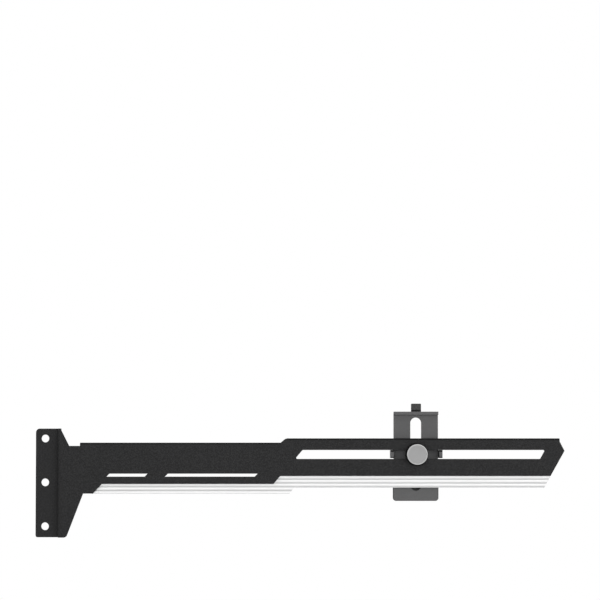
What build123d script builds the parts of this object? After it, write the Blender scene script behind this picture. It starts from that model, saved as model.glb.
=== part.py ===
"""Graphics card support bracket: a folded arm, a light bar behind its lower edge and a sliding rest.

Frame: X runs along the arm from the screw flange to the tip, Z is up and the arm's face looks along -Y.
The origin is the middle screw hole, on the flange's mating (back) face.
"""

import math
import os

from build123d import *

os.makedirs("parts", exist_ok=True)

# Folded sheet of the arm
sheet = 1.2
bend_inside = 0.3
bend_outside = sheet + bend_inside
joggle = 4.3
arm_front = -sheet - joggle
arm_back = arm_front + sheet

# Screw flange
slot_pitch = 20.32
screw_hole_radius = 1.8
flange_left = -4.35
flange_top = 24.92
flange_bottom = -25.38
flange_top_corner = 1.8
flange_bottom_corner = 1.0
riser_left = 6.3
riser_right = riser_left + sheet

# Arm outline seen from the front
shoulder_right = 7.4
neck_left = 11.45
lip_left = 16.5
low_lip_top = 18.38
high_lip_top = 20.37
lip_step_left = 109.2
lip_step_right = 111.5
lip_step_corner = 2.8
high_lip_left = 112.8
high_lip_right = 238.0
lip_back = 1.2
tip_apex = (240.2, 14.6)
tip_foot = (233.7, 2.98)
edge_step_right = 108.94
edge_step_left = 105.86
low_edge = -0.67
foot_right = 26.62
foot_corner = 22.44
foot_left = 17.96
foot_bottom = -5.12
gusset_foot = 10.2
gusset_corner = 1.7

# Slots in the arm
thin_slot_top = 4.05
thin_slot_bottom = 2.7
thin_slot_slant = 1.38
thin_slots = [(28.71, 46.36), (55.7, 97.15)]
long_slot_top = 14.98
long_slot_bottom = 10.87
long_slot_left = 115.8
long_slot_left_slant = 3.5
long_slot_right = 229.0
long_slot_right_slant = 2.28
long_slot_corner = 0.5

# Light bar: the guide's outline has two levels, and its ribs run the whole length
guide_front = -4.1
guide_wall_back = -2.5
bar_back = 1.1
bar_wall = 1.0
bar_low_top = 0.6
bar_high_top = 4.25
bar_low_bottom = -5.2
bar_high_bottom = -2.37
bar_left = 21.82
bar_left_slant = 0.94
bar_step_low = 113.2
bar_step_high = 115.4
bar_top_step_left = 105.0
bar_top_step_right = 108.1
bar_right = 231.1
bar_right_slant = 0.514
rib_pitch = 1.75
rib_slope = 0.95
rib_depth = 0.6
first_rib_slope_top = 2.2
rib_count = 5

# Carrier behind the light guide
carrier_gap = 0.1
carrier_roof = 1.2
carrier_front = -4.2
carrier_wall_front = 0.0
carrier_left = 19.2
tab_width = 6.0
tab_thickness = 1.0
tab_margin = 2.7
low_stud_height = 4.9
high_stud_height = 8.0
low_studs = [22.6, 51.5, 101.9]
high_studs = [150.0, 226.0]
stud_radius = 1.0
stud_length = 3.6
tab_hole_radius = 1.1
washer_radius = 2.1
washer_thickness = 0.3
nut_flats = 4.0
nut_height = 1.6

# Board and packages
board_thickness = 0.6
board_inset = 1.5
board_top_margin = 0.3
led_size = (3.5, 2.8, 1.3)
led_pitch = 16.6
low_led_start = 38.2
low_led_count = 5
low_led_height = -1.75
high_led_start = 123.0
high_led_count = 7
high_led_height = 1.4
capacitor_size = (1.6, 0.8, 0.8)
capacitor_offset = led_pitch / 3
peg_offset = -led_pitch / 3
peg_radius = 0.75
peg_hole_radius = 0.8
peg_head_radius = 1.2
peg_head_height = 0.5

# Inlet for the lead
socket_center = (32.5, -1.8)
socket_size = (8.0, 3.6)
socket_room = (6.4, 2.2)
socket_back = 4.2
socket_floor = 1.0
pin_pitch = 2.0
pin_side = 0.5
pin_back = 3.8
pin_front = -0.9

# Carriage: place of the thumb screw's axis
carriage_x = 171.95
screw_z = (long_slot_top + long_slot_bottom) / 2

# Lift plate
plate_sheet = 1.5
plate_front = 1.5
plate_back = plate_front + plate_sheet
plate_width = 20.66
plate_bottom = -8.55
plate_bottom_corner = 1.2
plate_bend_inside = 0.3
shelf_top = 32.76
shelf_front = -2.5
shelf_corner = 0.8
lift_slot_width = 5.07
lift_slot_top = 30.07
lift_slot_bottom = -3.93

# Rest pad on its foam tape
pad_width = 4.5
pad_depth = 3.6
tape_thickness = 0.85
pad_thickness = 2.85
pad_edge = 0.35

# Guide clip
clip_gap = 0.15
clip_front = plate_back + clip_gap
clip_back = clip_front + plate_sheet
clip_width = 24.0
clip_bend_inside = 0.3
clip_web_width = 20.0
clip_web_top = 19.0
clip_tail_width = 21.2
clip_tail_top = 9.0
clip_tail_bottom = -8.7
clip_corner = 1.5
ear_setback = 0.7
ear_edge = 0.5
ear_front = arm_front + ear_setback
ear_top = 14.95
ear_bottom = 11.25

# Thumb screw
screw_radius = 1.9
screw_hole = 2.05
screw_back = 8.5
screw_head_end = -10.8
knob_radius = 4.68
knob_front = -12.3
knob_shoulder = -8.2
knob_neck_radius = 3.9
knob_chamfer = 0.4
knob_rim = 1.0
knurl_count = 40
knurl_depth = 0.3
knob_washer_radius = 5.3
knob_washer_thickness = 0.75
knob_washer_gap = 0.05
knob_back = arm_front - knob_washer_gap - knob_washer_thickness
clip_nut_flats = 7.0
clip_nut_height = 3.2
clip_nut_chamfer = 0.35
clip_nut_bore = 2.0


def front_plane(y, x=0.0, z=0.0):
    """Plane at depth y that faces the viewer, with its origin at x and z."""
    return Plane(origin=(x, y, z), x_dir=(1, 0, 0), z_dir=(0, -1, 0))


def rounded_outline(corners):
    """Draw a closed outline through corners of (across, up, radius), where a radius of 0 stays sharp."""
    FilletPolyline(
        [(across, up) for across, up, radius in corners],
        radius=[radius for across, up, radius in corners],
        close=True,
    )


def bar_outline(inset, low_top, high_top):
    """Two-level outline of the light bar, drawn in by inset at its bottom and ends."""
    left_inset = inset * math.hypot(1, bar_left_slant)
    right_inset = inset * math.hypot(1, bar_right_slant)
    step_slant = (bar_step_high - bar_step_low) / (bar_high_bottom - bar_low_bottom)
    step_inset = inset * math.hypot(1, step_slant)

    def left_end(z):
        return bar_left + left_inset + bar_left_slant * (z - bar_low_bottom)

    def right_end(z):
        return bar_right - right_inset + bar_right_slant * (z - bar_high_bottom)

    def step_end(z):
        return bar_step_low - step_inset + step_slant * (z - bar_low_bottom)

    low = bar_low_bottom + inset
    high = bar_high_bottom + inset
    top_slant = (bar_top_step_right - bar_top_step_left) / (bar_high_top - bar_low_top)
    top_step_left = bar_top_step_left + top_slant * (low_top - bar_low_top)
    top_step_right = bar_top_step_left + top_slant * (high_top - bar_low_top)
    return [
        (left_end(low_top), low_top),
        (top_step_left, low_top),
        (top_step_right, high_top),
        (right_end(high_top), high_top),
        (right_end(high), high),
        (step_end(high), high),
        (step_end(low), low),
        (left_end(low), low),
    ]


def lip_profile(top):
    """Closed section of a lip that is bent back from the arm's upper edge."""
    bend_low = top - bend_outside
    bend_end = arm_front + bend_outside
    Line((arm_front, bend_low), (arm_back, bend_low))
    RadiusArc((arm_back, bend_low), (bend_end, top - sheet), bend_inside)
    Line((bend_end, top - sheet), (lip_back, top - sheet))
    Line((lip_back, top - sheet), (lip_back, top))
    Line((lip_back, top), (bend_end, top))
    RadiusArc((bend_end, top), (arm_front, bend_low), -bend_outside)


# Arm: the joggled section is cut to the front outline, then the two lips are bent from it
arm_outline = [
    (flange_left, flange_top, flange_top_corner),
    (shoulder_right, flange_top, 0),
    (neck_left, low_lip_top - bend_outside, 0),
    (lip_step_left, low_lip_top - bend_outside, 0),
    (lip_step_left, low_lip_top, 0),
    (lip_step_right, high_lip_top, lip_step_corner),
    (high_lip_left, high_lip_top, 0),
    (high_lip_left, high_lip_top - bend_outside, 0),
    (high_lip_right, high_lip_top - bend_outside, 0),
    (*tip_apex, 0),
    (*tip_foot, 0),
    (edge_step_right, tip_foot[1], 0),
    (edge_step_left, low_edge, 0),
    (foot_right, low_edge, 0),
    (foot_corner, foot_bottom, 0),
    (foot_left, foot_bottom, 0),
    (gusset_foot, flange_bottom, gusset_corner),
    (flange_left, flange_bottom, flange_bottom_corner),
]
arm_section = [
    (flange_left, 0, 0),
    (riser_right, 0, bend_outside),
    (riser_right, arm_back, bend_inside),
    (tip_apex[0], arm_back, 0),
    (tip_apex[0], arm_front, 0),
    (riser_left, arm_front, bend_outside),
    (riser_left, -sheet, bend_inside),
    (flange_left, -sheet, 0),
]

with BuildPart() as arm_plate:
    with BuildSketch(Plane.XY.offset(flange_bottom)):
        with BuildLine():
            rounded_outline(arm_section)
        make_face()
    extrude(amount=flange_top - flange_bottom)
    with BuildSketch(front_plane(0)):
        with BuildLine():
            rounded_outline(arm_outline)
        make_face()
    extrude(amount=-arm_front, mode=Mode.INTERSECT)
    with BuildSketch(Plane.YZ.offset(lip_left)):
        with BuildLine():
            lip_profile(low_lip_top)
        make_face()
    extrude(amount=lip_step_left - lip_left)
    with BuildSketch(Plane.YZ.offset(high_lip_left)):
        with BuildLine():
            lip_profile(high_lip_top)
        make_face()
    extrude(amount=high_lip_right - high_lip_left)
    with BuildSketch(front_plane(0)):
        with GridLocations(0, slot_pitch, 1, 3):
            Circle(screw_hole_radius)
    extrude(amount=sheet, mode=Mode.SUBTRACT)
    with BuildSketch(front_plane(arm_back)):
        for slot_left, slot_right in thin_slots:
            with BuildLine():
                Polyline(
                    (slot_left, thin_slot_bottom),
                    (slot_right, thin_slot_bottom),
                    (slot_right + thin_slot_slant, thin_slot_top),
                    (slot_left + thin_slot_slant, thin_slot_top),
                    close=True,
                )
            make_face()
        with BuildLine():
            FilletPolyline(
                (long_slot_left, long_slot_bottom),
                (long_slot_right, long_slot_bottom),
                (long_slot_right + long_slot_right_slant, long_slot_top),
                (long_slot_left + long_slot_left_slant, long_slot_top),
                radius=long_slot_corner,
                close=True,
            )
        make_face()
    extrude(amount=sheet, mode=Mode.SUBTRACT)
arm_plate.part.label = "arm_plate"
export_step(arm_plate.part, "parts/arm_plate.step")

# Light guide: ribbed front wall, bottom wall and slanted ends, open at its top and back
with BuildPart() as light_guide:
    with BuildSketch(front_plane(bar_back)):
        with BuildLine():
            Polyline(*bar_outline(0, bar_low_top, bar_high_top), close=True)
        make_face()
    extrude(amount=bar_back - guide_front)
    with BuildSketch(front_plane(bar_back)):
        with BuildLine():
            Polyline(
                *bar_outline(bar_wall, bar_low_top + bar_wall, bar_high_top + bar_wall),
                close=True,
            )
        make_face()
    extrude(amount=bar_back - guide_wall_back, mode=Mode.SUBTRACT)
    with BuildSketch(Plane.YZ.offset(bar_left)):
        for rib in range(rib_count):
            slope_top = first_rib_slope_top - rib * rib_pitch
            with BuildLine():
                Polyline(
                    (guide_front, slope_top),
                    (guide_front, slope_top - rib_slope),
                    (guide_front + rib_depth, slope_top - rib_slope),
                    close=True,
                )
            make_face()
    extrude(amount=tip_apex[0] - bar_left, mode=Mode.SUBTRACT)
light_guide.part.label = "light_guide"
export_step(light_guide.part, "parts/light_guide.step")

# Carrier: back wall inside the guide's rim, a roof over it and tabs for the studs
roof_low = bar_low_top + carrier_gap
roof_high = bar_high_top + carrier_gap
wall_outline = bar_outline(bar_wall + carrier_gap, roof_low, roof_high)
roof_under = [(carrier_left, roof_low), *wall_outline[1:4]]
roof_over = [(x, z + carrier_roof) for x, z in reversed(roof_under)]
stud_places = [(x, low_stud_height) for x in low_studs]
stud_places += [(x, high_stud_height) for x in high_studs]
tab_feet = [roof_low] * len(low_studs) + [roof_high] * len(high_studs)
window = (socket_size[0] + 2 * carrier_gap, socket_size[1] + 2 * carrier_gap)
led_places = [(low_led_start + i * led_pitch, low_led_height) for i in range(low_led_count)]
led_places += [(high_led_start + i * led_pitch, high_led_height) for i in range(high_led_count)]
peg_places = [(x + peg_offset, z) for x, z in led_places[1::2]]
board_front = carrier_wall_front - board_thickness

with BuildPart() as light_carrier:
    with BuildSketch(front_plane(bar_back)):
        with BuildLine():
            Polyline(*wall_outline, close=True)
        make_face()
        with Locations(socket_center):
            Rectangle(*window, mode=Mode.SUBTRACT)
    extrude(amount=bar_back - carrier_wall_front)
    with BuildSketch(front_plane(bar_back)):
        with BuildLine():
            Polyline(*roof_under, *roof_over, close=True)
        make_face()
    extrude(amount=bar_back - carrier_front)
    with BuildSketch(front_plane(carrier_wall_front)):
        with Locations(*peg_places):
            Circle(peg_radius)
    extrude(amount=board_thickness)
    with BuildSketch(front_plane(board_front)):
        with Locations(*peg_places):
            Circle(peg_head_radius)
    extrude(amount=peg_head_height)
    with BuildSketch(front_plane(carrier_front + tab_thickness)):
        for (stud_x, stud_z), tab_foot in zip(stud_places, tab_feet):
            tab_height = stud_z + tab_margin - tab_foot
            with Locations((stud_x, tab_foot)):
                Rectangle(tab_width, tab_height, align=(Align.CENTER, Align.MIN))
        with Locations(*stud_places):
            Circle(tab_hole_radius, mode=Mode.SUBTRACT)
    extrude(amount=tab_thickness)
light_carrier.part.label = "light_carrier"
export_step(light_carrier.part, "parts/light_carrier.step")

# Weld studs on the arm's back, with a washer and a nut on each
with BuildPart() as carrier_studs:
    with BuildSketch(front_plane(arm_back + stud_length)):
        with Locations(*stud_places):
            Circle(stud_radius)
    extrude(amount=stud_length)
carrier_studs.part.label = "carrier_studs"
export_step(carrier_studs.part, "parts/carrier_studs.step")

washer_back = carrier_front + tab_thickness + washer_thickness
with BuildPart() as carrier_washers:
    with BuildSketch(front_plane(washer_back)):
        with Locations(*stud_places):
            Circle(washer_radius)
            Circle(tab_hole_radius, mode=Mode.SUBTRACT)
    extrude(amount=washer_thickness)
carrier_washers.part.label = "carrier_washers"
export_step(carrier_washers.part, "parts/carrier_washers.step")

with BuildPart() as carrier_nuts:
    with BuildSketch(front_plane(washer_back + nut_height)):
        with Locations(*stud_places):
            RegularPolygon(nut_flats / 2, 6, major_radius=False)
            Circle(stud_radius, mode=Mode.SUBTRACT)
    extrude(amount=nut_height)
carrier_nuts.part.label = "carrier_nuts"
export_step(carrier_nuts.part, "parts/carrier_nuts.step")

# Board with its packages, in front of the carrier's back wall
board_low_top = bar_low_top - board_top_margin
board_high_top = bar_high_top - board_top_margin
pin_places = [(socket_center[0] + i * pin_pitch, socket_center[1]) for i in (-1, 0, 1)]
with BuildPart() as led_board:
    with BuildSketch(front_plane(carrier_wall_front)):
        with BuildLine():
            Polyline(*bar_outline(board_inset, board_low_top, board_high_top), close=True)
        make_face()
        with Locations(*peg_places):
            Circle(peg_hole_radius, mode=Mode.SUBTRACT)
        with Locations(*pin_places):
            Rectangle(pin_side, pin_side, mode=Mode.SUBTRACT)
    extrude(amount=board_thickness)
led_board.part.label = "led_board"
export_step(led_board.part, "parts/led_board.step")

with BuildPart() as leds:
    with BuildSketch(front_plane(board_front)):
        with Locations(*led_places):
            Rectangle(led_size[0], led_size[1])
    extrude(amount=led_size[2])
leds.part.label = "leds"
export_step(leds.part, "parts/leds.step")

capacitor_places = [(x + capacitor_offset, z) for x, z in led_places]
with BuildPart() as board_capacitors:
    with BuildSketch(front_plane(board_front)):
        with Locations(*capacitor_places):
            Rectangle(capacitor_size[0], capacitor_size[1])
    extrude(amount=capacitor_size[2])
board_capacitors.part.label = "board_capacitors"
export_step(board_capacitors.part, "parts/board_capacitors.step")

# Inlet for the lead: a shrouded socket through the carrier's window, with three pins
with BuildPart() as lead_socket:
    with BuildSketch(front_plane(socket_back)):
        with Locations(socket_center):
            Rectangle(*socket_size)
        with Locations(*pin_places):
            Rectangle(pin_side, pin_side, mode=Mode.SUBTRACT)
    extrude(amount=socket_back - carrier_wall_front)
    with BuildSketch(front_plane(socket_back)):
        with Locations(socket_center):
            Rectangle(*socket_room)
    extrude(amount=socket_back - socket_floor, mode=Mode.SUBTRACT)
lead_socket.part.label = "lead_socket"
export_step(lead_socket.part, "parts/lead_socket.step")

with BuildPart() as socket_pins:
    with BuildSketch(front_plane(pin_back)):
        with Locations(*pin_places):
            Rectangle(pin_side, pin_side)
    extrude(amount=pin_back - pin_front)
socket_pins.part.label = "socket_pins"
export_step(socket_pins.part, "parts/socket_pins.step")

# Lift plate: an upright sheet, folded towards the viewer at its top
plate_bend_outside = plate_sheet + plate_bend_inside
lift_section = [
    (plate_front, plate_bottom, 0),
    (plate_back, plate_bottom, 0),
    (plate_back, shelf_top, plate_bend_outside),
    (shelf_front, shelf_top, 0),
    (shelf_front, shelf_top - plate_sheet, 0),
    (plate_front, shelf_top - plate_sheet, plate_bend_inside),
]
lift_slot_middle = (lift_slot_top + lift_slot_bottom) / 2
lift_slot_length = lift_slot_top - lift_slot_bottom

with BuildPart() as lift_plate:
    with BuildSketch(Plane.YZ.offset(carriage_x - plate_width / 2)):
        with BuildLine():
            rounded_outline(lift_section)
        make_face()
    extrude(amount=plate_width)
    upright_edges = lift_plate.edges().filter_by(Axis.Z)
    fillet(upright_edges.group_by(Axis.Y)[0], shelf_corner)
    foot_edges = lift_plate.edges().filter_by(Axis.Y)
    fillet(foot_edges.group_by(Axis.Z)[0], plate_bottom_corner)
    with BuildSketch(front_plane(plate_back, carriage_x, lift_slot_middle)):
        SlotOverall(lift_slot_length, lift_slot_width, rotation=90)
    extrude(amount=plate_sheet, mode=Mode.SUBTRACT)
lift_plate.part.label = "lift_plate"
export_step(lift_plate.part, "parts/lift_plate.step")

# Rest pad, held on the shelf's flat by a foam tape
with BuildPart() as pad_tape:
    with BuildSketch(Plane.XY.offset(shelf_top)):
        with Locations((carriage_x, shelf_front)):
            Rectangle(pad_width, pad_depth, align=(Align.CENTER, Align.MIN))
    extrude(amount=tape_thickness)
    fillet(pad_tape.edges().filter_by(Axis.Z), pad_edge)
pad_tape.part.label = "pad_tape"
export_step(pad_tape.part, "parts/pad_tape.step")

with BuildPart() as rest_pad:
    with BuildSketch(Plane.XY.offset(shelf_top + tape_thickness)):
        with Locations((carriage_x, shelf_front)):
            Rectangle(pad_width, pad_depth, align=(Align.CENTER, Align.MIN))
    extrude(amount=pad_thickness)
    fillet(rest_pad.edges().filter_by(Axis.Z), pad_edge)
    fillet(rest_pad.faces().sort_by(Axis.Z)[-1].edges(), pad_edge)
rest_pad.part.label = "rest_pad"
export_step(rest_pad.part, "parts/rest_pad.step")

# Guide clip: a web and tail behind the lift plate, with two ears bent forward round it into the arm's slot
clip_bend_outside = plate_sheet + clip_bend_inside
half_clip = clip_width / 2
half_room = half_clip - plate_sheet
clip_section = [
    (-half_clip, ear_front, 0),
    (-half_room, ear_front, 0),
    (-half_room, clip_front, clip_bend_inside),
    (half_room, clip_front, clip_bend_inside),
    (half_room, ear_front, 0),
    (half_clip, ear_front, 0),
    (half_clip, clip_back, clip_bend_outside),
    (-half_clip, clip_back, clip_bend_outside),
]
half_web = clip_web_width / 2
half_tail = clip_tail_width / 2
web_outline = [
    (-half_tail, clip_tail_bottom, clip_corner),
    (half_tail, clip_tail_bottom, clip_corner),
    (half_tail, clip_tail_top, 0),
    (half_web, clip_tail_top, 0),
    (half_web, clip_web_top, clip_corner),
    (-half_web, clip_web_top, clip_corner),
    (-half_web, clip_tail_top, 0),
    (-half_tail, clip_tail_top, 0),
]
with BuildPart() as guide_clip:
    with BuildSketch(Plane((carriage_x, 0, ear_bottom))):
        with BuildLine():
            rounded_outline(clip_section)
        make_face()
    extrude(amount=ear_top - ear_bottom)
    fillet(guide_clip.edges().filter_by(Axis.X).group_by(Axis.Y)[0], ear_edge)
    with BuildSketch(front_plane(clip_back, carriage_x)):
        with BuildLine():
            rounded_outline(web_outline)
        make_face()
    extrude(amount=plate_sheet)
    with BuildSketch(front_plane(clip_back, carriage_x, screw_z)):
        Circle(screw_hole)
    extrude(amount=plate_sheet, mode=Mode.SUBTRACT)
guide_clip.part.label = "guide_clip"
export_step(guide_clip.part, "parts/guide_clip.step")

# Nut behind the clip
with BuildPart() as clip_nut:
    with BuildSketch(front_plane(clip_back + clip_nut_height, carriage_x, screw_z)):
        Circle(clip_nut_flats / math.sqrt(3))
    extrude(amount=clip_nut_height)
    chamfer(clip_nut.edges().filter_by(GeomType.CIRCLE), clip_nut_chamfer)
    with BuildSketch(front_plane(clip_back + clip_nut_height, carriage_x, screw_z)):
        RegularPolygon(clip_nut_flats / 2, 6, major_radius=False)
        Circle(clip_nut_bore, mode=Mode.SUBTRACT)
    extrude(amount=clip_nut_height, mode=Mode.INTERSECT)
clip_nut.part.label = "clip_nut"
export_step(clip_nut.part, "parts/clip_nut.step")

# Thumb screw: a knurled knob on a stud, with a washer between the knob and the arm
with BuildPart() as thumb_knob:
    with BuildSketch(front_plane(knob_shoulder, carriage_x, screw_z)):
        Circle(knob_radius)
    extrude(amount=knob_shoulder - knob_front)
    chamfer(thumb_knob.edges(), knob_chamfer)
    with BuildSketch(front_plane(knob_shoulder - knob_rim, carriage_x, screw_z)):
        with PolarLocations(knob_radius, knurl_count):
            RegularPolygon(knurl_depth, 4)
    extrude(amount=knob_shoulder - knob_front - 2 * knob_rim, mode=Mode.SUBTRACT)
    with BuildSketch(front_plane(knob_back, carriage_x, screw_z)):
        Circle(knob_neck_radius)
    extrude(amount=knob_back - knob_shoulder)
    with BuildSketch(front_plane(knob_back, carriage_x, screw_z)):
        Circle(screw_radius)
    extrude(amount=knob_back - screw_head_end, mode=Mode.SUBTRACT)
thumb_knob.part.label = "thumb_knob"
export_step(thumb_knob.part, "parts/thumb_knob.step")

with BuildPart() as thumb_stud:
    with BuildSketch(front_plane(screw_back, carriage_x, screw_z)):
        Circle(screw_radius)
    extrude(amount=screw_back - screw_head_end)
    chamfer(thumb_stud.edges().filter_by(GeomType.CIRCLE).sort_by(Axis.Y)[-1], knob_chamfer)
thumb_stud.part.label = "thumb_stud"
export_step(thumb_stud.part, "parts/thumb_stud.step")

with BuildPart() as knob_washer:
    with BuildSketch(front_plane(arm_front - knob_washer_gap, carriage_x, screw_z)):
        Circle(knob_washer_radius)
        Circle(screw_hole, mode=Mode.SUBTRACT)
    extrude(amount=knob_washer_thickness)
knob_washer.part.label = "knob_washer"
export_step(knob_washer.part, "parts/knob_washer.step")
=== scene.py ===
import math
from collections import namedtuple

import bmesh
import bpy
from bpy.props import FloatProperty, FloatVectorProperty, IntProperty, PointerProperty
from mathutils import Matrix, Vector


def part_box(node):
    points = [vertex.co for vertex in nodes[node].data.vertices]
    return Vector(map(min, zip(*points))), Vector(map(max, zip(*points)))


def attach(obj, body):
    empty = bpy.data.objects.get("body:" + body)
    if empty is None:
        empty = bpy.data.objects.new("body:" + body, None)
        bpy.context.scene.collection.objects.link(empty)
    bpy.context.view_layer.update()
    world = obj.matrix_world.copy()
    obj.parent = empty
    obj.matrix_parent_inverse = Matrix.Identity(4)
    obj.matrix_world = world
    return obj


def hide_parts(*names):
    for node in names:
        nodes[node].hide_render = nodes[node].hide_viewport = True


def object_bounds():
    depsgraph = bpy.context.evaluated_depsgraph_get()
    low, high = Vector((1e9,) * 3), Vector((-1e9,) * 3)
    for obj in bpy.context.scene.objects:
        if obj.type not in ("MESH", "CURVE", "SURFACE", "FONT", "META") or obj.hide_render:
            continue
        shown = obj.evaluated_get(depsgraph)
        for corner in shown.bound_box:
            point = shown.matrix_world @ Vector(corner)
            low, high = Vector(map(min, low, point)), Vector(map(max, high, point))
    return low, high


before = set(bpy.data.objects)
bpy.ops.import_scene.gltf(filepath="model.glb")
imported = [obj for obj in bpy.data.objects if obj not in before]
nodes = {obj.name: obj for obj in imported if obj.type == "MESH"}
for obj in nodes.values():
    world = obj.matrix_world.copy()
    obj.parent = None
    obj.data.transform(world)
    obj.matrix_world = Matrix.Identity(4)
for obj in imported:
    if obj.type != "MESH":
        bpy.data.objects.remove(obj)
cad_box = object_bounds()

bl_info = {
    "name": "Card support bracket dresser",
    "version": (1, 0, 0),
    "blender": (4, 5, 0),
    "location": "View3D > Sidebar > Bracket",
    "description": "Dresses the solids of a graphics card support bracket and sets up its stage",
    "category": "Object",
}

# Limits for merging, cutting and shading, and how squarely a face looks along an axis
MERGE_DISTANCE = 1e-6
CUT_THRESHOLD = 1e-7
FLAT_ANGLE = math.radians(0.4)
SHARP_ANGLE = math.radians(32)
SQUARE_ON = 0.9

# Ribs of the light guide, in metres
RIB_TOP = 0.0022
RIB_PITCH = 0.00175
RIB_SLOPE = 0.00095

# Painted shade on the guide clip's ears and on its face behind the lift plate, in metres
EAR_ROUND = 0.0005
EAR_UNSHADED = 0.0012
EAR_SHADE_FADE = 0.0001
WEB_SHADE_REACH = 0.0005

# Grain of each plain finish, with the tone of its low and high spots as shares of its colour
Grain = namedtuple("Grain", "density depth rough fleck specular")
GRAINS = {
    "arm_coat": Grain(2600.0, 0.00006, (0.62, 0.74), (0.7, 1.4), 0.1),
    "arm_coat_edge": Grain(4200.0, 0.00002, (0.5, 0.62), (0.805, 1.61), 0.1),
    "plate_coat": Grain(4200.0, 0.00002, (0.5, 0.6), (0.93, 1.07), 0.2),
    "plate_coat_edge": Grain(5200.0, 0.00001, (0.42, 0.52), (0.99, 1.21), 0.2),
    # Darker coat that paints the shade on the clip's face behind the lift plate
    "plate_coat_worn": Grain(4200.0, 0.00002, (0.6, 0.7), (0.32, 0.48), 0.05),
    "carrier_plastic": Grain(1900.0, 0.00003, (0.48, 0.6), (0.85, 1.2), 0.35),
    "package_white": Grain(3000.0, 0.00001, (0.35, 0.45), (0.96, 1.04), 0.5),
    "phosphor": Grain(9000.0, 0.00001, (0.3, 0.4), (0.85, 1.15), 0.5),
    "ceramic": Grain(6000.0, 0.00001, (0.4, 0.5), (0.9, 1.1), 0.5),
    "natural_nylon": Grain(1500.0, 0.00002, (0.38, 0.5), (0.95, 1.03), 0.5),
    "matt_rubber": Grain(1600.0, 0.00004, (0.78, 0.9), (0.8, 1.2), 0.2),
    "foam_tape": Grain(1100.0, 0.00005, (0.85, 0.95), (0.7, 1.3), 0.1),
    "black_nylon": Grain(2200.0, 0.00002, (0.5, 0.6), (0.85, 1.2), 0.1),
}

# Tool lines of each metal
Lines = namedtuple("Lines", "density depth rough")
METALS = {
    "zinc_plating": Lines(5000.0, 0.000004, (0.28, 0.4)),
    "tin": Lines(9000.0, 0.000004, (0.3, 0.4)),
    "pin_brass": Lines(8000.0, 0.000003, (0.22, 0.32)),
    "anodised_knob": Lines(12000.0, 0.000004, (0.38, 0.46)),
    "turned_rim": Lines(9000.0, 0.000002, (0.16, 0.22)),
}

# Lamps and floor, in metres
CENTRE = (cad_box[0] + cad_box[1]) / 2
KEY_PLACE = (CENTRE.x + 0.2, -1.15, 0.05)
KEY_SIZE = (1.4, 0.28)
RIM_PLACE = (CENTRE.x + 0.5, 0.9, 0.6)
RIM_SIZE = (0.8, 0.8)
FLOOR_SIZE = 6.0
FLOOR_FADE = (0.22, 0.5)
FLOOR_GLOW = 0.42
FLOOR_TONE = (0.82, 0.82, 0.82, 1.0)
WHITE = (1.0, 1.0, 1.0, 1.0)


# Settings that a user would change


def number(name, description, default, low, high, **kind):
    """A number setting, with its unit or subtype."""
    return FloatProperty(name=name, description=description, default=default, min=low, max=high, **kind)


def length(name, description, default, low, high):
    """A length setting."""
    return number(name, description, default, low, high, unit="LENGTH", precision=5)


def colour(name, description, default):
    """A colour setting."""
    return FloatVectorProperty(
        name=name,
        description=description,
        default=default,
        min=0.0,
        max=1.0,
        size=3,
        subtype="COLOR",
    )


class BracketEdges(bpy.types.PropertyGroup):
    """Rounding of the edges of each kind of piece."""

    sheet: length("Sheet", "Rounding of the coated sheets' cut edges", 0.00007, 0.00001, 0.0005)
    moulded: length("Moulded", "Rounding of the moulded pieces' edges", 0.00012, 0.00001, 0.0004)
    guide: length("Light guide", "Rounding of the guide's rib edges", 0.00006, 0.00001, 0.0002)
    fastener: length("Fasteners", "Rounding of the fasteners' edges", 0.00005, 0.00001, 0.0002)


class BracketThreads(bpy.types.PropertyGroup):
    """Threads and knurl of the fasteners."""

    screw_pitch: length("Thumb screw pitch", "Pitch of the thumb screw's thread", 0.0007, 0.0003, 0.002)
    stud_pitch: length("Weld stud pitch", "Pitch of the weld studs' thread", 0.0004, 0.0002, 0.001)
    knurl_grooves: IntProperty(
        name="Knurl grooves",
        description="Number of grooves round the knob",
        default=40,
        min=12,
        max=90,
    )
    knurl_depth: length("Knurl depth", "Depth of the knob's grooves", 0.0003, 0.00005, 0.0006)


class BracketColours(bpy.types.PropertyGroup):
    """Colours of the finishes."""

    black_coat: colour("Black coat", "Powder coat of the arm", (0.024, 0.024, 0.0245))
    grey_coat: colour("Grey coat", "Coat of the lift plate and the guide clip", (0.104, 0.104, 0.105))
    milky: colour("Milky guide", "Light guide of the light bar", (0.885, 0.885, 0.885))
    black_plastic: colour("Black plastic", "Carrier of the light bar", (0.017, 0.017, 0.018))
    solder_mask: colour("Solder mask", "Mask of the circuit board", (0.75, 0.76, 0.74))
    package: colour("Package", "Body of the light packages", (0.82, 0.82, 0.8))
    phosphor: colour("Phosphor", "Window of the light packages", (0.8, 0.62, 0.16))
    ceramic: colour("Ceramic", "Body of the capacitors", (0.42, 0.33, 0.24))
    tin: colour("Tin", "Ends of the packages and the capacitors", (0.72, 0.72, 0.71))
    nylon: colour("Natural nylon", "Shroud of the lead inlet", (0.74, 0.73, 0.67))
    brass: colour("Brass", "Pins of the lead inlet", (0.72, 0.6, 0.33))
    zinc: colour("Zinc", "Plating of nuts, washers and studs", (0.56, 0.57, 0.59))
    rubber: colour("Rubber", "Rest pad", (0.055, 0.055, 0.055))
    tape: colour("Foam tape", "Tape under the rest pad", (0.015, 0.015, 0.015))
    knob: colour("Knob", "Anodised face of the knob", (0.4, 0.4, 0.4))
    knob_rim: colour("Knob rim", "Bright chamfer of the knob", (0.58, 0.58, 0.58))
    washer: colour("Black nylon", "Washer under the knob", (0.004, 0.004, 0.004))


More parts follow.
